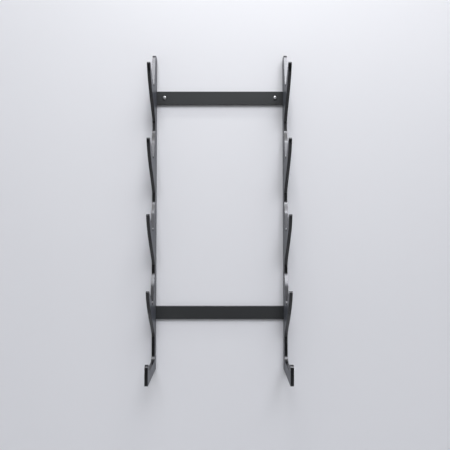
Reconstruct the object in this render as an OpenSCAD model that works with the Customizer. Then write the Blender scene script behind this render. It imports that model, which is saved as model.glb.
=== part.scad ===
// Wall rack that holds cues level, one above the other, in notches cut into two side plates.
// X runs along the cues, -Y points away from the wall and +Z is up. The wall is the plane Y = 0.
// The origin is midway between the axes of the two wall screws.
//
// The side plates are drawn as an outline in two distances: depth, measured out from the wall,
// and height, measured up from the plates' bottom edge.

/* [Side plates] */
// Thickness of each side plate
plate_t = 6; // [5:0.5:8]
// Clear width between the side plates
inner_w = 254; // [160:2:600]
// Number of open hooks above the bottom hook
hooks = 4; // [2:1:6]
// Height from one hook's tip to the next
pitch = 140; // [140:2:180]
// Height of the lowest open hook's tip
low_tip_h = 167; // [160:1:200]
// Depth of the open hooks' tips
tip_d = 87.5; // [82:0.5:95]
// Depth of the plate at its narrowest, below each hook
waist_d = 20; // [19:0.5:22]
// Height of the plate above the top hook's tip
crown_h = 36; // [34:1:45]

/* [Cue notches] */
// Radius at the bottom of each open notch
notch_r = 9; // [8:0.5:10]
// Depth of that radius's centre
notch_d = 45; // [44:0.5:47]
// Distance of that centre below the hook's tip
notch_drop = 24; // [23:0.2:26]
// Depth of the plate level with each hook's tip, where the back of the notch begins
throat_d = 30.5; // [30:0.5:32]

/* [Bottom hook] */
// Depth of the bottom hook's front face
lip_d = 97; // [85:0.5:105]
// Height of the bottom hook's lip
lip_h = 37; // [34:1:60]
// Thickness of the lip
lip_t = 11; // [10:0.5:16]
// Height of the bottom hook's floor
floor_h = 21; // [12:0.5:24]
// Depth of the plate behind the bottom hook
stem_d = 17; // [16:0.5:20]
// Radius where the floor meets the plate behind it and the lip in front
floor_r = 11.5; // [8:0.5:12]

/* [Rails] */
// Height of each rail
rail_h = 25.5; // [24:0.5:36]
// Thickness of each rail
rail_t = 6; // [6:0.5:12]
// Distance of the top rail's centre below the top hook's tip
top_rail_drop = 45.5; // [44:0.5:60]
// Distance of the bottom rail's centre below the lowest open hook's tip
low_rail_drop = 55; // [44:0.5:60]

/* [Wall fixings] */
// Distance between the two wall screws
wall_screw_span = 222; // [100:2:240]
// Outer diameter of the wall screws' threads
wall_screw_dia = 4; // [3.5:0.5:4]
// Diameter of the wall screws' heads
wall_head_dia = 7.4; // [7:0.2:8]
// Length of the wall screws under the head
wall_screw_l = 35; // [30:5:50]

/* [Joint fixings] */
// Distance between the two screws in each end of a rail
joint_span = 16; // [14:1:18]
// Diameter of the joint screws' shanks
joint_screw_dia = 2.5; // [2:0.1:2.6]
// Length of the joint screws under the head
joint_screw_l = 12; // [11:1:13]
// Outer diameter of the threaded inserts
insert_dia = 3.6; // [3.4:0.1:4]
// Length of the threaded inserts
insert_l = 7; // [6:0.5:9]

/* [Hidden] */
$fn = 48;

// Radius that rounds the hooks' tips
tip_r = 2.5;
// Slope of a hook's front just under its tip, in degrees from upright
front_a = 12;
// Points on each curve of the plate's outline
curve_n = 20;
// Clearance around a screw's shank, on the radius
screw_gap = 0.25;
// Clearance between a joint screw and the insert that it is driven into, on the radius
thread_gap = 0.05;
// Height of the wall screws' heads
wall_head_h = 2.6;
// Height of the joint screws' button heads
joint_head_h = 1.5;
// Diameter of the joint screws' button heads
joint_head_dia = 4.7;
// Width across the flats of the joint screws' sockets
socket_w = 1.5;
// Overshoot that carries a cut past the face it opens through
over = 1;

top_tip_h = low_tip_h + (hooks - 1) * pitch;
plate_h = top_tip_h + crown_h;
top_rail_z = top_tip_h - top_rail_drop;
low_rail_z = low_tip_h - low_rail_drop;
joint_y = rail_t / 2;

// Points on a cubic Bezier curve, without its first point
function bezier(p0, p1, p2, p3) = [for (i = [1 : curve_n]) let (t = i / curve_n, u = 1 - t)
    u * u * u * p0 + 3 * u * u * t * p1 + 3 * u * t * t * p2 + t * t * t * p3];

// Points on an arc from angle a0 to angle a1
function arc(centre, r, a0, a1, n = curve_n) =
    [for (i = [0 : n]) let (a = a0 + (a1 - a0) * i / n) centre + r * [cos(a), sin(a)]];

// Centres of the notch and of the tip's rounding, measured from the height of the tip
notch_centre = [notch_d, -notch_drop];
tip_centre = [tip_d - tip_r, -tip_r];

// Slope of the ramp, which is the straight line that touches both circles and crosses between them
rise = tip_centre - notch_centre;
ramp_a = atan2(rise[1], rise[0]) + asin((notch_r + tip_r) / norm(rise));

// Slope of the notch's back, a straight line from the throat that touches the notch's circle, in
// degrees from upright
throat = [throat_d, 0];
fall = notch_centre - throat;
back_a = atan2(fall[0], -fall[1]) - asin(notch_r / norm(fall));

// Outline from the throat round the notch, up the ramp, over the tip and down the hook's front to
// the depth end_d below it, measured from the height of the tip
waist_drop = 100;
front_pull = 42;
waist_pull = 16;
tip_end = tip_centre + tip_r * [cos(front_a), -sin(front_a)];
function hook_outline(end_d) = concat(
    arc(notch_centre, notch_r, 180 + back_a, 270 + ramp_a),
    arc(tip_centre, tip_r, 90 + ramp_a, -front_a, 8),
    bezier(tip_end, tip_end - front_pull * [sin(front_a), cos(front_a)],
        [end_d, waist_pull - waist_drop], [end_d, -waist_drop]));

// Plate front from a waist, straight down to the shoulder and then out to the throat, measured
// from the height of the tip
shoulder_h = 25;
shoulder_pull = 4;
throat_pull = 8;
shoulder = [waist_d, shoulder_h];
shoulder_outline = concat([shoulder], bezier(shoulder, shoulder - [0, shoulder_pull],
    throat + throat_pull * [-sin(back_a), cos(back_a)], throat));

// Rounded top of the plate, from the wall to the front, where it meets the line of the top notch's
// back carried straight up
crown_r = 8;
crown_front_d = throat_d - (crown_r + (crown_h - crown_r) * sin(back_a)) / cos(back_a);
crown_outline = concat(
    arc([crown_r, plate_h - crown_r], crown_r, 180, 90),
    arc([crown_front_d, plate_h - crown_r], crown_r, 90, back_a));

// Bottom hook's floor, lip and underside
lip_r = 5;
corner_r = 2.5;
foot_outline = concat(
    arc([stem_d + floor_r, floor_h + floor_r], floor_r, 180, 270),
    arc([lip_d - lip_t - floor_r, floor_h + floor_r], floor_r, 270, 360),
    arc([lip_d - lip_t + lip_r, lip_h - lip_r], lip_r, 180, 90),
    arc([lip_d - lip_r, lip_h - lip_r], lip_r, 90, 0),
    arc([lip_d - corner_r, corner_r], corner_r, 0, -90, 8));

traced_outline = concat(
    [[0, 0]],
    crown_outline,
    [for (i = [hooks - 1 : -1 : 0])
        for (p = concat(i < hooks - 1 ? shoulder_outline : [], hook_outline(i == 0 ? stem_d : waist_d)))
            p + [0, low_tip_h + i * pitch]],
    foot_outline);

// The same outline, with each point that two neighbouring curves share kept once
plate_outline = [for (i = [0 : len(traced_outline) - 1])
    if (i == 0 || norm(traced_outline[i] - traced_outline[i - 1]) > 0.001) traced_outline[i]];

// Puts a shape drawn along +Z onto an axis that runs along X, at one joint screw's place
module at_joint(side, rail_z, level) {
    translate([side * inner_w / 2, -joint_y, rail_z - top_rail_z + level * joint_span / 2])
        rotate([0, side * 90, 0]) children();
}

// Puts a shape drawn along +Z onto a wall screw's axis, with +Z pointing away from the wall
module at_wall_screw(side) {
    translate([side * wall_screw_span / 2, 0, 0]) rotate([90, 0, 0]) children();
}

module side_plate(side) {
    color("#1b1c1f") difference() {
        translate([side * (inner_w + plate_t) / 2 - plate_t / 2, 0, -top_rail_z])
            rotate([90, 0, 90])
                linear_extrude(plate_t) polygon([for (p = plate_outline) [-p[0], p[1]]]);
        for (rail_z = [top_rail_z, low_rail_z], level = [-1, 1])
            at_joint(side, rail_z, level)
                translate([0, 0, -over])
                    cylinder(h = plate_t + 2 * over, r = joint_screw_dia / 2 + screw_gap);
    }
}

module rail(rail_z) {
    difference() {
        translate([-inner_w / 2, -rail_t, rail_z - top_rail_z - rail_h / 2])
            cube([inner_w, rail_t, rail_h]);
        for (side = [-1, 1], level = [-1, 1])
            at_joint(side, rail_z, level)
                translate([0, 0, -insert_l]) cylinder(h = insert_l + over, r = insert_dia / 2);
    }
}

module top_rail() {
    color("#2b2d2f") difference() {
        rail(top_rail_z);
        for (side = [-1, 1])
            at_wall_screw(side)
                translate([0, 0, -over])
                    cylinder(h = rail_t + 2 * over, r = wall_screw_dia / 2 + screw_gap);
    }
}

module bottom_rail() {
    color("#2b2d2f") rail(low_rail_z);
}

// Pan-head wood screw with a cross recess. Its head bears on the front of the top rail, its plain
// neck is inside the rail, and its thread is all behind it, in the wall.
module wall_screw(side) {
    recess_w = 0.9;
    recess_l = 4;
    recess_depth = 1.6;
    rim_h = 1;
    neck_dia = 2.9;
    point_l = 5;
    point_r = 0.3;
    color("#c9cbcd") at_wall_screw(side) translate([0, 0, rail_t]) difference() {
        union() {
            rotate_extrude() polygon(concat(
                [[0, 0], [wall_head_dia / 2, 0], [wall_head_dia / 2, rim_h]],
                bezier([wall_head_dia / 2, rim_h], [wall_head_dia / 2, 2 * rim_h],
                    [wall_head_dia / 4, wall_head_h], [0, wall_head_h])));
            translate([0, 0, -rail_t - over])
                cylinder(h = rail_t + over + rim_h, r = neck_dia / 2);
            translate([0, 0, point_l - wall_screw_l])
                cylinder(h = wall_screw_l - point_l - rail_t, r = wall_screw_dia / 2);
            translate([0, 0, -wall_screw_l])
                cylinder(h = point_l, r1 = point_r, r2 = wall_screw_dia / 2);
        }
        for (a = [0, 90])
            rotate([0, 0, a])
                translate([-recess_l / 2, -recess_w / 2, wall_head_h - recess_depth])
                    cube([recess_l, recess_w, recess_depth + over]);
    }
}

// Button-head screw with a hexagon socket, whose head bears on the outside of a side plate
module joint_screw(side, rail_z, level) {
    rim_h = 0.3;
    socket_depth = 0.9;
    color("#26272a") at_joint(side, rail_z, level) translate([0, 0, plate_t]) difference() {
        union() {
            rotate_extrude() polygon(concat(
                [[0, 0], [joint_head_dia / 2, 0], [joint_head_dia / 2, rim_h]],
                bezier([joint_head_dia / 2, rim_h], [joint_head_dia / 2, joint_head_h / 2],
                    [joint_head_dia / 4, joint_head_h], [0, joint_head_h])));
            translate([0, 0, -joint_screw_l])
                cylinder(h = joint_screw_l, r = joint_screw_dia / 2);
        }
        translate([0, 0, joint_head_h - socket_depth])
            cylinder(h = socket_depth + over, r = socket_w / sqrt(3), $fn = 6);
    }
}

// Threaded brass insert, flush with the end of its rail
module insert(side, rail_z, level) {
    color("#b08d4c") at_joint(side, rail_z, level) translate([0, 0, -insert_l]) difference() {
        cylinder(h = insert_l, r = insert_dia / 2);
        translate([0, 0, -over])
            cylinder(h = insert_l + 2 * over, r = joint_screw_dia / 2 + thread_gap);
    }
}

side_plate(-1);  // side_plate_left
side_plate(1);  // side_plate_right
top_rail();
bottom_rail();
wall_screw(-1);  // wall_screw_left
wall_screw(1);  // wall_screw_right
joint_screw(-1, top_rail_z, 1);  // joint_screw_top_left_upper
joint_screw(-1, top_rail_z, -1);  // joint_screw_top_left_lower
joint_screw(1, top_rail_z, 1);  // joint_screw_top_right_upper
joint_screw(1, top_rail_z, -1);  // joint_screw_top_right_lower
joint_screw(-1, low_rail_z, 1);  // joint_screw_bottom_left_upper
joint_screw(-1, low_rail_z, -1);  // joint_screw_bottom_left_lower
joint_screw(1, low_rail_z, 1);  // joint_screw_bottom_right_upper
joint_screw(1, low_rail_z, -1);  // joint_screw_bottom_right_lower
insert(-1, top_rail_z, 1);  // insert_top_left_upper
insert(-1, top_rail_z, -1);  // insert_top_left_lower
insert(1, top_rail_z, 1);  // insert_top_right_upper
insert(1, top_rail_z, -1);  // insert_top_right_lower
insert(-1, low_rail_z, 1);  // insert_bottom_left_upper
insert(-1, low_rail_z, -1);  // insert_bottom_left_lower
insert(1, low_rail_z, 1);  // insert_bottom_right_upper
insert(1, low_rail_z, -1);  // insert_bottom_right_lower
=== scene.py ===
"""Looks of the wall cue rack: black acrylic plates and rails, their fixings, and the pale wall
behind them."""

import math

import bmesh
import bpy
from mathutils import Matrix, Vector

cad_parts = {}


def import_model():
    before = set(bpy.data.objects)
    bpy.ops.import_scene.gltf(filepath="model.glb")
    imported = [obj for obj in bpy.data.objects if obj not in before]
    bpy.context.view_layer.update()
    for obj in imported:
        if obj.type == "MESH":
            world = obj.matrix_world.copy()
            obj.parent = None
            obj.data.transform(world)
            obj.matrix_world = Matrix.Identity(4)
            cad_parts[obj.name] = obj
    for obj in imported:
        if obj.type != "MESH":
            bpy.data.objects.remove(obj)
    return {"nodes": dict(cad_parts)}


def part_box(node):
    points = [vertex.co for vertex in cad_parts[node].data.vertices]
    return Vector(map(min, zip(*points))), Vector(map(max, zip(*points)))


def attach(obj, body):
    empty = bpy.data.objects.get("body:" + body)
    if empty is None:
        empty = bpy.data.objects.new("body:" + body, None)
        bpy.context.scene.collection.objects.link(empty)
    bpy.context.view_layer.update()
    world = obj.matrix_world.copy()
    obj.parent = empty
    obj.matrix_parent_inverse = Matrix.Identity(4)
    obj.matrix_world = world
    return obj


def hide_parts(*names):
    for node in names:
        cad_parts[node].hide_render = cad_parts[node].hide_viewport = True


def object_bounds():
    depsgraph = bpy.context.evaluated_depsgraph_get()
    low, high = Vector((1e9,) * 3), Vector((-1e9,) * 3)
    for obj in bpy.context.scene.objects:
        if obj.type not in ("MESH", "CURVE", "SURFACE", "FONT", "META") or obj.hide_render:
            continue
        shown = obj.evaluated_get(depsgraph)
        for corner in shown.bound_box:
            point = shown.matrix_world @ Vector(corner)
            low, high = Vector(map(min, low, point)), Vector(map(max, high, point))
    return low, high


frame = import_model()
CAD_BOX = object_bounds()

MM = 0.001
BODY = "root"
NODES = frame["nodes"]

# ---------------------------------------------------------------------------------------------
# Node trees


class Tree:
    """A material's or world's node tree, with short calls for the nodes used here."""

    def __init__(self, owner):
        owner.use_nodes = True
        self.nodes = owner.node_tree.nodes
        self.links = owner.node_tree.links
        self.nodes.clear()

    def add(self, kind, settings=None, **inputs):
        """Adds a node. An input's value is a number, a colour or another node's output."""
        node = self.nodes.new(kind)
        for key, value in (settings or {}).items():
            setattr(node, key, value)
        for key, value in inputs.items():
            socket = node.inputs[key.replace("_", " ")]
            self.put(socket, value)
        return node

    def put(self, socket, value):
        if isinstance(value, bpy.types.NodeSocket):
            self.links.new(value, socket)
        elif socket.type == "RGBA" and len(value) == 3:
            socket.default_value = (*value, 1)
        else:
            socket.default_value = value

    def math(self, operation, a, b=0.0):
        node = self.add("ShaderNodeMath", {"operation": operation})
        self.put(node.inputs[0], a)
        self.put(node.inputs[1], b)
        return node.outputs[0]

    def ramp(self, value, stops, interpolation="LINEAR"):
        """A colour ramp over value. stops are (position, grey level or colour)."""
        node = self.add("ShaderNodeValToRGB", Fac=value)
        node.color_ramp.interpolation = interpolation
        elements = node.color_ramp.elements
        while len(elements) < len(stops):
            elements.new(0.5)
        for element, (position, level) in zip(elements, stops):
            element.position = position
            colour = (level,) * 3 if isinstance(level, (int, float)) else level
            element.color = (*colour, 1)
        return node.outputs[0]

    def stretched(self, scale):
        """Object coordinates, scaled by a different amount along each axis."""
        place = self.add("ShaderNodeTexCoord").outputs["Object"]
        return self.add("ShaderNodeMapping", Vector=place, Scale=scale).outputs[0]

    def noise(self, vector, scale, detail=2.0, roughness=0.5):
        return self.add("ShaderNodeTexNoise", Vector=vector, Scale=scale, Detail=detail,
                        Roughness=roughness).outputs["Fac"]

    def bump(self, height, distance, strength=1.0, normal=None):
        node = self.add("ShaderNodeBump", Height=height, Distance=distance, Strength=strength)
        if normal is not None:
            self.put(node.inputs["Normal"], normal)
        return node.outputs[0]

    def finish(self, **principled):
        shader = self.add("ShaderNodeBsdfPrincipled", **principled)
        self.add("ShaderNodeOutputMaterial", Surface=shader.outputs[0])


def new_material(name):
    material = bpy.data.materials.new(name)
    return material, Tree(material)


# ---------------------------------------------------------------------------------------------
# Materials

ACRYLIC_IOR = 1.49


def acrylic_face(name, colour, clean, smudged, gloss, haze=0.0):
    """Cast sheet as it comes from under its film: faint handling smudges and hairline scratches.
    clean and smudged are roughnesses, gloss is the specular level and haze the weight of the sheen."""
    material, t = new_material(name)
    place = t.stretched((1, 1, 1))
    smudge = t.noise(place, 14, detail=2, roughness=0.5)
    patches = t.ramp(smudge, [(0.35, 0.0), (0.75, 1.0)], "EASE")
    hairs = t.noise(t.stretched((40, 900, 60)), 1.0, detail=1)
    cross_hairs = t.noise(t.stretched((40, 55, 1100)), 1.0, detail=1)
    scratches = t.math("ADD", t.ramp(hairs, [(0.70, 0.0), (0.74, 1.0)]),
                       t.ramp(cross_hairs, [(0.71, 0.0), (0.75, 1.0)]))
    roughness = t.add("ShaderNodeMapRange", Value=patches, To_Min=clean, To_Max=smudged).outputs[0]
    roughness = t.math("ADD", roughness, t.math("MULTIPLY", scratches, 0.05))
    sheet_wave = t.bump(t.noise(place, 22, detail=0), 0.00004)
    normal = t.bump(scratches, 0.000002, strength=0.4, normal=sheet_wave)
    tint = t.ramp(smudge, [(0.3, colour), (0.8, tuple(1.12 * c for c in colour))])
    t.finish(Base_Color=tint, Roughness=roughness, IOR=ACRYLIC_IOR, Specular_IOR_Level=gloss,
             Sheen_Weight=haze, Sheen_Roughness=0.5, Sheen_Tint=(0.80, 0.86, 1.0), Normal=normal)
    return material


def acrylic_edge(name, colour, across):
    """Laser-cut and flame-polished edge. across is the axis, 0 to 2, that the cut's fine ribs run along."""
    material, t = new_material(name)
    rib_scale = [1500.0] * 3
    rib_scale[across] = 25.0
    ribs = t.noise(t.stretched(rib_scale), 1.0, detail=2, roughness=0.6)
    swell_scale = [260.0] * 3
    swell_scale[across] = 12.0
    swells = t.noise(t.stretched(swell_scale), 1.0, detail=1)
    roughness = t.add("ShaderNodeMapRange", Value=swells, From_Min=0.3, From_Max=0.7,
                      To_Min=0.17, To_Max=0.22).outputs[0]
    normal = t.bump(swells, 0.000006, normal=t.bump(ribs, 0.000002))
    t.finish(Base_Color=colour, Roughness=roughness, IOR=ACRYLIC_IOR, Specular_IOR_Level=0.8, Normal=normal)
    return material


def plated_steel():
    """Bright zinc: fine turning marks and a faint straw and blue cast."""
    material, t = new_material("bright_zinc")
    place = t.stretched((1, 1, 1))
    cast = t.noise(place, 420, detail=3)
    colour = t.ramp(cast, [(0.3, (0.42, 0.43, 0.46)), (0.7, (0.54, 0.53, 0.50))])
    grain = t.noise(place, 5200, detail=2)
    roughness = t.add("ShaderNodeMapRange", Value=grain, To_Min=0.26, To_Max=0.42).outputs[0]
    t.finish(Base_Color=colour, Metallic=1.0, Roughness=roughness,
             Normal=t.bump(grain, 0.00001))
    return material


def black_oxide():
    material, t = new_material("black_oxide")
    place = t.stretched((1, 1, 1))
    grain = t.noise(place, 3600, detail=3, roughness=0.6)
    worn = t.noise(place, 700, detail=2)
    colour = t.ramp(worn, [(0.45, (0.018, 0.018, 0.020)), (0.75, (0.045, 0.043, 0.042))])
    roughness = t.add("ShaderNodeMapRange", Value=grain, To_Min=0.26, To_Max=0.46).outputs[0]
    t.finish(Base_Color=colour, Metallic=0.85, Roughness=roughness,
             Normal=t.bump(grain, 0.000012))
    return material


def turned_brass():
    material, t = new_material("turned_brass")
    place = t.stretched((1, 1, 1))
    tarnish = t.noise(place, 900, detail=3)
    colour = t.ramp(tarnish, [(0.35, (0.50, 0.35, 0.13)), (0.7, (0.74, 0.56, 0.27))])
    roughness = t.add("ShaderNodeMapRange", Value=tarnish, To_Min=0.38, To_Max=0.2).outputs[0]
    t.finish(Base_Color=colour, Metallic=1.0, Roughness=roughness)
    return material


# ---------------------------------------------------------------------------------------------
# Mesh helpers


THREAD_SIDES = 28


def new_object(name, mesh, *materials):
    piece = bpy.data.objects.new(name, mesh)
    bpy.context.scene.collection.objects.link(piece)
    for material in materials:
        piece.data.materials.append(material)
    return piece


def mesh_from(bm, name):
    bmesh.ops.recalc_face_normals(bm, faces=bm.faces)
    mesh = bpy.data.meshes.new(name)
    bm.to_mesh(mesh)
    bm.free()
    return mesh


def smooth(mesh, angle=35):
    """Smooth shading, with edges sharper than angle degrees kept crisp."""
    for polygon in mesh.polygons:
        polygon.use_smooth = True
    mesh.set_sharp_from_angle(angle=math.radians(angle))


def lathe(profile, segments):
    """Closed mesh turned about Z from (radius, height) points. A radius of 0 makes a pole."""
    bm = bmesh.new()
    rings = []
    for radius, height in profile:
        if radius == 0:
            rings.append([bm.verts.new((0, 0, height))] * segments)
        else:
            rings.append([bm.verts.new((radius * math.cos(a), radius * math.sin(a), height))
                          for a in (2 * math.pi * i / segments for i in range(segments))])
    join_rings(bm, rings)
    return bm


def join_rings(bm, rings):
    """Faces between neighbouring rings of equal length, with flat caps on open ends."""
    count = len(rings[0])
    for low, high in zip(rings, rings[1:]):
        for i in range(count):
            j = (i + 1) % count
            corners = []
            for vert in (low[i], low[j], high[j], high[i]):
                if vert not in corners:
                    corners.append(vert)
            if len(corners) > 2:
                bm.faces.new(corners)
    for ring in (rings[0], rings[-1]):
        if len(set(ring)) > 2:
            bm.faces.new(ring)


def relief(radius_at, heights, segments):
    """Rings whose radius is radius_at(turn, height), where turn goes from 0 to 1 round the axis."""
    rings = []
    for height in heights:
        ring = []
        for i in range(segments):
            turn = i / segments
            radius = radius_at(turn, height)
            angle = 2 * math.pi * turn
            ring.append((radius * math.cos(angle), radius * math.sin(angle), height))
        rings.append(ring)
    return rings


def circle(radius, height):
    """Points of a ring that matches a thread's rings."""
    turns = (2 * math.pi * i / THREAD_SIDES for i in range(THREAD_SIDES))
    return [(radius * math.cos(a), radius * math.sin(a), height) for a in turns]


def solid_of(rings):
    """Closed mesh through rings of points."""
    bm = bmesh.new()
    join_rings(bm, [[bm.verts.new(p) for p in ring] for ring in rings])
    return bm


def block(lo, hi):
    """A box's bmesh, used only as a cutter."""
    bm = bmesh.new()
    size = Vector(hi) - Vector(lo)
    middle = (Vector(hi) + Vector(lo)) / 2
    bmesh.ops.create_cube(bm, size=1, matrix=Matrix.Translation(middle) @ Matrix.Diagonal((*size, 1)))
    return bm


def cut(mesh, *cutters):
    """mesh less each of the cutters."""
    body = new_object("cut_body", mesh)
    tools = [new_object("cut_tool", mesh_from(bm, "cut_tool")) for bm in cutters]
    for tool in tools:
        modifier = body.modifiers.new("cut", "BOOLEAN")
        modifier.operation = "DIFFERENCE"
        modifier.solver = "EXACT"
        modifier.object = tool
    evaluated = body.evaluated_get(bpy.context.evaluated_depsgraph_get())
    result = bpy.data.meshes.new_from_object(evaluated)
    for scrap in (body, *tools):
        bpy.data.objects.remove(scrap)
    return result


def spaced(low, high, count):
    """count + 1 evenly spaced values from low to high."""
    return [low + (high - low) * i / count for i in range(count + 1)]


# ---------------------------------------------------------------------------------------------
# Plates and rails


def dressed_copy(node, name, arris, materials, is_face):
    """The CAD node's own shape with its arrises rounded. is_face says which normals lie on sheet faces."""
    bm = bmesh.new()
    bm.from_mesh(NODES[node].data)
    bmesh.ops.remove_doubles(bm, verts=bm.verts, dist=0.005 * MM)
    bmesh.ops.dissolve_limit(bm, angle_limit=math.radians(0.4), verts=bm.verts, edges=bm.edges)
    sharp = [e for e in bm.edges if e.is_manifold and e.calc_face_angle() > math.radians(40)]
    bmesh.ops.bevel(bm, geom=sharp, offset=arris, segments=3, profile=0.6, affect="EDGES",
                    clamp_overlap=True)
    for face in bm.faces:
        face.material_index = 0 if is_face(face.normal) else 1
    mesh = mesh_from(bm, name)
    smooth(mesh, 40)
    piece = new_object(name, mesh, *materials)
    weighted = piece.modifiers.new("flat_faces", "WEIGHTED_NORMAL")
    weighted.keep_sharp = True
    weighted.weight = 80
    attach(piece, BODY)
    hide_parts(node)
    return piece


def plates():
    face = acrylic_face("plate_face", (0.007, 0.007, 0.009), 0.38, 0.46, gloss=0.36, haze=0.09)
    edge = acrylic_edge("plate_edge", (0.004, 0.004, 0.005), across=0)
    for side in ("left", "right"):
        piece = dressed_copy(f"side_plate_{side}", f"plate_{side}", 0.35 * MM, (face, edge),
                             lambda normal: abs(normal.x) > 0.95)


def rails():
    face = acrylic_face("rail_face", (0.034, 0.0355, 0.036), 0.40, 0.46, gloss=0.22)
    edge = acrylic_edge("rail_edge", (0.016, 0.017, 0.017), across=1)
    for level in ("top", "bottom"):
        piece = dressed_copy(f"{level}_rail", f"rail_{level}", 0.4 * MM, (face, edge),
                             lambda normal: abs(normal.y) > 0.95)


# ---------------------------------------------------------------------------------------------
# Fixings


def thread(length, major, minor, pitch):
    """Rings of a screw thread that runs down from 0 to -length and fades out over a turn at each end."""
    rings_in_a_turn = 8

    def radius_at(turn, height):
        phase = (height / pitch - turn) % 1
        crest = 1 - abs(2 * phase - 1)
        fade = min(1, -height / pitch, (length + height) / pitch)
        return minor + (major - minor) * crest * max(0, fade)

    count = round(length / pitch * rings_in_a_turn)
    return relief(radius_at, spaced(0, -length, count), THREAD_SIDES)


def place_of(node, along, towards, bearing):
    """Matrix that puts a piece drawn along +Z on the node's axis, with z = 0 at bearing."""
    lo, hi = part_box(node)
    middle = (lo + hi) / 2
    middle[along] = bearing
    direction = Vector((0, 0, 0))
    direction[along] = towards
    return Matrix.Translation(middle) @ direction.to_track_quat("Z", "Y").to_matrix().to_4x4()


def fit(mesh, name, material, matrix, node):
    """Puts a fixing in its node's place. Copies share one mesh."""
    piece = new_object(name, mesh)
    if not mesh.materials:
        mesh.materials.append(material)
    piece.matrix_world = matrix
    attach(piece, BODY)
    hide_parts(node)


def dome(radius, flat, rim, height, steps):
    """Profile points between the rim's top, at radius, and the edge of the flat top, both left out."""
    angles = [math.radians(angle) for angle in spaced(0, 90, steps)[1:-1]]
    return [(flat + (radius - flat) * math.cos(a), rim + (height - rim) * math.sin(a)) for a in angles]


def pan_head(radius, height):
    """Pan head with a cross recess, its bearing face at z = 0."""
    rim, flat = 0.4 * height, 0.45 * radius
    profile = [(0, 0), (0.92 * radius, 0), (radius, 0.06 * height), (radius, rim)]
    profile += dome(radius, flat, rim, height, 10)
    profile += [(0.2 * radius, height), (0, height)]
    wing, depth, width = 0.56 * radius, 0.62 * height, 0.125 * radius
    floor_wing, floor_width = 0.45, 0.7
    cutters = []
    for turn in (0, 90):
        tool = block((-wing, -width, height - depth), (wing, width, height + depth))
        for vert in tool.verts:
            if vert.co.z < height:
                vert.co.x *= floor_wing
                vert.co.y *= floor_width
        bmesh.ops.rotate(tool, verts=tool.verts, matrix=Matrix.Rotation(math.radians(turn), 3, "Z"))
        cutters.append(tool)
    return cut(mesh_from(lathe(profile, 56), "pan_head"), *cutters)


def wall_screws(material):
    """Pan-head wood screws: a plain neck inside the top rail, and a coarse tapering thread in the wall."""
    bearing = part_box("top_rail")[0].y
    lo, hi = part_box("wall_screw_left")
    radius, head = (hi.x - lo.x) / 2, bearing - lo.y
    length, grip = hi.y - bearing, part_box("top_rail")[1].y - bearing
    crest, neck, pitch = 2.0 * MM, 1.35 * MM, 1.8 * MM
    into_head, end_gap = 0.2 * MM, 0.1 * MM
    taper, blunt_tip = 6 * MM, 0.12
    rings = [circle(neck, into_head), circle(neck, -0.9 * grip)]
    for ring in thread(length - grip - 2 * end_gap, crest, neck, pitch):
        left = max(blunt_tip, min(1, (length - grip + ring[0][2]) / taper))
        rings.append([(x * left, y * left, z - grip - end_gap) for x, y, z in ring])
    bm = solid_of(rings)
    bm.from_mesh(pan_head(radius, head))
    mesh = mesh_from(bm, "wall_screw")
    smooth(mesh, 30)
    for side in ("left", "right"):
        node = f"wall_screw_{side}"
        fit(mesh, f"pan_screw_{side}", material, place_of(node, 1, -1, bearing), node)


def button_head(radius, height, socket):
    """Button head with a hexagon socket, its bearing face at z = 0."""
    rim, flat = 0.18 * height, 0.42 * radius
    profile = [(0, 0), (0.95 * radius, 0), (radius, 0.05 * height), (radius, rim)]
    profile += dome(radius, flat, rim, height, 12)
    profile += [(flat, height), (0, height)]
    corner = socket / math.sqrt(3)
    hexagon = lathe([(corner, 0.36 * height), (corner, 2 * height)], 6)
    lead = lathe([(0.5 * socket, 0.86 * height), (0.68 * socket, 1.04 * height)], 48)
    return cut(mesh_from(lathe(profile, 64), "button_head"), hexagon, lead)


def joint_screws(material):
    ends = [f"{level}_{side}_{row}" for level in ("top", "bottom") for side in ("left", "right")
            for row in ("upper", "lower")]
    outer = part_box("side_plate_right")[1].x
    lo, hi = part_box("joint_screw_top_right_upper")
    radius, head, length = (hi.z - lo.z) / 2, hi.x - outer, outer - lo.x
    socket, shank, pitch = 1.5 * MM, 1.25 * MM, 0.45 * MM
    crest, root = shank - 0.01 * MM, 0.82 * shank
    into_head, collar, thread_start = 0.1 * MM, 0.5 * MM, 0.6 * MM
    rings = [circle(shank, into_head), circle(shank, -collar)]
    for ring in thread(length - thread_start, crest, root, pitch):
        rings.append([(x, y, z - thread_start) for x, y, z in ring])
    bm = solid_of(rings)
    bm.from_mesh(button_head(radius, head, socket))
    mesh = mesh_from(bm, "joint_screw")
    smooth(mesh, 30)
    for end in ends:
        node = f"joint_screw_{end}"
        side = 1 if "right" in end else -1
        fit(mesh, f"button_screw_{end}", material, place_of(node, 0, side, side * outer), node)
    return ends


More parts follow.
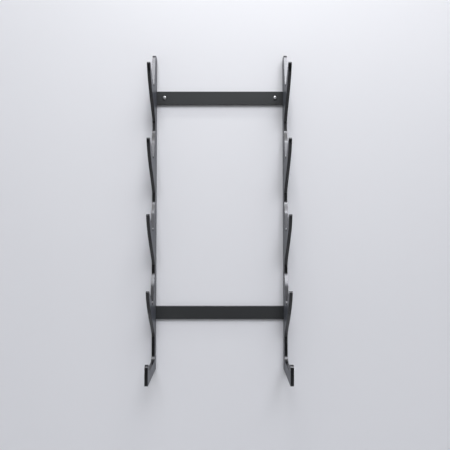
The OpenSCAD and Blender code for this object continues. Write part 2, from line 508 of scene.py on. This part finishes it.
def inserts(ends, material):
    """Knurled brass sleeve with a plain waist, open right through."""
    end_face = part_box("top_rail")[1].x
    lo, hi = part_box("insert_top_right_upper")
    radius, length = (hi.z - lo.z) / 2, hi.x - lo.x
    bore = 1.3 * MM
    teeth, lean = 18, 1.6
    waist, rim, valley = 0.88, 0.93, 0.94

    def knurl(turn, height):
        """The knurl leans one way on the outer half and the other way on the inner half."""
        along = -height / length
        if 0.44 < along < 0.56:
            return waist * radius
        if not 0.04 < along < 0.96:
            return rim * radius
        twist = lean * along if along < 0.5 else -lean * along
        ridge = abs(((turn * teeth + twist) % 1) - 0.5) * 2
        return radius * (valley + (1 - valley) * ridge)

    count = 4 * teeth
    outside = relief(knurl, spaced(0, -length, 28), count)
    inside = relief(lambda turn, height: bore, spaced(-length, 0, 2), count)
    bm = bmesh.new()
    rings = [[bm.verts.new(p) for p in ring] for ring in outside + inside]
    for low, high in zip(rings, rings[1:] + rings[:1]):
        for i in range(count):
            bm.faces.new((low[i], low[(i + 1) % count], high[(i + 1) % count], high[i]))
    mesh = mesh_from(bm, "insert")
    smooth(mesh, 35)
    for end in ends:
        node = f"insert_{end}"
        side = 1 if "right" in end else -1
        fit(mesh, f"brass_insert_{end}", material, place_of(node, 0, side, side * end_face), node)


# ---------------------------------------------------------------------------------------------
# Stage, light and camera

# The wall stands this far behind the rack's back, which keeps their faces apart
WALL_GAP = 0.2 * MM
FLOOR_Z = CAD_BOX[0].z - 1.1

# Radiance of the room by degrees of elevation
ROOM_LIGHT = ((-90, 0.03), (-32, 0.04), (-18, 0.08), (-6, 0.14), (6, 0.18), (22, 0.20), (45, 0.22),
              (90, 0.24))

# The same for a bright patch before the rack: its middle is turned GLOW_HEADING degrees to the
# right, and it fades from GLOW_CORE to GLOW_EDGE degrees on either side
GLOW_LIGHT = ((8, 0.0), (12, 0.4), (16, 1.6), (25, 2.6), (35, 4.6), (41, 9.5), (45, 12.0), (48, 5.0),
              (53, 2.5), (62, 0.0))
GLOW_TINT = (0.90, 0.92, 1.0)
GLOW_HEADING = 5.0
GLOW_CORE = 9.0
GLOW_EDGE = 24.0


def wall():
    """Painted wall at the rack's back. It shows only from the front, and lets light at its very surface
    through, so that the rack's back can be seen and lit from behind."""
    material, t = new_material("wall_paint")
    place = t.stretched((1, 1, 1))
    roller = t.noise(place, 190, detail=4, roughness=0.6)
    cloud = t.noise(place, 1.6, detail=2)
    paint = t.add("ShaderNodeBsdfPrincipled", Roughness=0.62, Specular_IOR_Level=0.3,
                  Base_Color=t.ramp(cloud, [(0.3, (0.780, 0.782, 0.795)), (0.7, (0.800, 0.801, 0.812))]),
                  Normal=t.bump(roller, 0.00006))
    clear = t.add("ShaderNodeBsdfTransparent")
    near = 1 * MM
    close = t.math("LESS_THAN", t.add("ShaderNodeLightPath").outputs["Ray Length"], near)
    behind = t.add("ShaderNodeNewGeometry").outputs["Backfacing"]
    either = t.math("MAXIMUM", close, behind)
    mix = t.add("ShaderNodeMixShader", Fac=either)
    t.put(mix.inputs[1], paint.outputs[0])
    t.put(mix.inputs[2], clear.outputs[0])
    t.add("ShaderNodeOutputMaterial", Surface=mix.outputs[0])
    bm = bmesh.new()
    reach, top = 3.0, 2.2
    corners = [(-reach, FLOOR_Z), (reach, FLOOR_Z), (reach, top), (-reach, top)]
    bm.faces.new([bm.verts.new((x, WALL_GAP, z)) for x, z in corners])
    mesh = bpy.data.meshes.new("wall")
    bm.to_mesh(mesh)
    bm.free()
    if mesh.polygons[0].normal.y > 0:
        mesh.flip_normals()
    new_object("wall", mesh, material)


def floor():
    material, t = new_material("floor_paint")
    speck = t.noise(t.stretched((1, 1, 1)), 60, detail=4)
    t.finish(Base_Color=t.ramp(speck, [(0.3, 0.50), (0.7, 0.54)]), Roughness=0.6)
    bm = bmesh.new()
    reach = 3.0
    bm.faces.new([bm.verts.new((x, y, FLOOR_Z)) for x, y in
                  ((-reach, -reach), (reach, -reach), (reach, reach), (-reach, reach))])
    new_object("floor", mesh_from(bm, "floor"), material)


def by_elevation(t, level, steps, peak, tint):
    """Ramp over level, (sine of the elevation + 1) / 2, from (degrees, radiance) steps, with peak as 1."""
    stops = []
    for elevation, radiance in steps:
        colour = tuple(radiance / peak * c for c in tint)
        stops.append(((math.sin(math.radians(elevation)) + 1) / 2, colour))
    return t.ramp(level, stops)


def world():
    """Room light: dim, with a bright patch high up before the rack. The camera itself sees a plain
    pale ground."""
    scene_world = bpy.data.worlds.new("room")
    bpy.context.scene.world = scene_world
    t = Tree(scene_world)
    direction = t.add("ShaderNodeTexCoord").outputs["Generated"]
    parts = t.add("ShaderNodeSeparateXYZ", Vector=direction)
    level = t.add("ShaderNodeMapRange", Value=parts.outputs["Z"], From_Min=-1.0, From_Max=1.0).outputs[0]
    room = by_elevation(t, level, ROOM_LIGHT, 1.0, (1, 1, 1))
    flat = t.add("ShaderNodeCombineXYZ", X=parts.outputs["X"], Y=parts.outputs["Y"])
    heading = t.add("ShaderNodeVectorMath", {"operation": "NORMALIZE"})
    t.put(heading.inputs[0], flat.outputs[0])
    towards = t.add("ShaderNodeVectorMath", {"operation": "DOT_PRODUCT"})
    t.put(towards.inputs[0], heading.outputs[0])
    turn = math.radians(GLOW_HEADING)
    towards.inputs[1].default_value = (math.sin(turn), -math.cos(turn), 0)
    patch = t.add("ShaderNodeMapRange", {"interpolation_type": "SMOOTHSTEP"}, Value=towards.outputs["Value"],
                  From_Min=math.cos(math.radians(GLOW_EDGE)), From_Max=math.cos(math.radians(GLOW_CORE)))
    peak = max(radiance for _, radiance in GLOW_LIGHT)
    glow = by_elevation(t, level, GLOW_LIGHT, peak, GLOW_TINT)
    lit = t.add("ShaderNodeAddShader")
    t.put(lit.inputs[0], t.add("ShaderNodeBackground", Color=room, Strength=1.0).outputs[0])
    t.put(lit.inputs[1], t.add("ShaderNodeBackground", Color=glow,
                               Strength=t.math("MULTIPLY", patch.outputs[0], peak)).outputs[0])
    seen = t.add("ShaderNodeBackground", Color=(0.62, 0.625, 0.64, 1), Strength=1.0)
    mix = t.add("ShaderNodeMixShader", Fac=t.add("ShaderNodeLightPath").outputs["Is Camera Ray"])
    t.put(mix.inputs[1], lit.outputs[0])
    t.put(mix.inputs[2], seen.outputs[0])
    t.add("ShaderNodeOutputWorld", Surface=mix.outputs[0])


def area_light(name, place, target, size, power, colour):
    data = bpy.data.lights.new(name, "AREA")
    data.shape = "RECTANGLE"
    data.size, data.size_y = size
    data.energy = power
    data.color = colour
    lamp = bpy.data.objects.new(name, data)
    bpy.context.scene.collection.objects.link(lamp)
    lamp.location = place
    lamp.rotation_mode = "QUATERNION"
    lamp.rotation_quaternion = (Vector(target) - Vector(place)).to_track_quat("-Z", "Y")


def lights():
    """A soft panel over the viewer's head, a little to the right, and a small lamp higher up near
    the wall."""
    middle = (CAD_BOX[0] + CAD_BOX[1]) / 2
    area_light("ceiling_panel", (0.20, -0.82, middle.z + 1.15), (0, 0, middle.z), (1.30, 0.90), 9.5,
               (0.975, 0.98, 1.0))
    area_light("downlight", (0.01, -0.24, middle.z + 1.25), (0, 0, middle.z - 0.1), (0.07, 0.07), 4.0,
               (1.0, 1.0, 1.0))


def camera():
    """Facing the wall from 0.9 m, a little below the rack's middle and looking slightly up."""
    data = bpy.data.cameras.new("camera")
    data.sensor_width = 36
    data.lens = 36
    data.shift_x = 0.0024
    data.shift_y = -0.0449
    data.clip_start = 0.01
    eye = bpy.data.objects.new("camera", data)
    bpy.context.scene.collection.objects.link(eye)
    eye.location = (0.0084, -0.9051, -0.2415)
    looking_up = 1.67
    eye.rotation_euler = (math.radians(90 + looking_up), 0, 0)
    bpy.context.scene.camera = eye


def main():
    camera()
    world()
    lights()
    wall()
    floor()
    plates()
    rails()
    wall_screws(plated_steel())
    ends = joint_screws(black_oxide())
    inserts(ends, turned_brass())
    view_settings = bpy.context.scene.view_settings
    view_settings.view_transform = "Standard"
    view_settings.look = "None"


main()
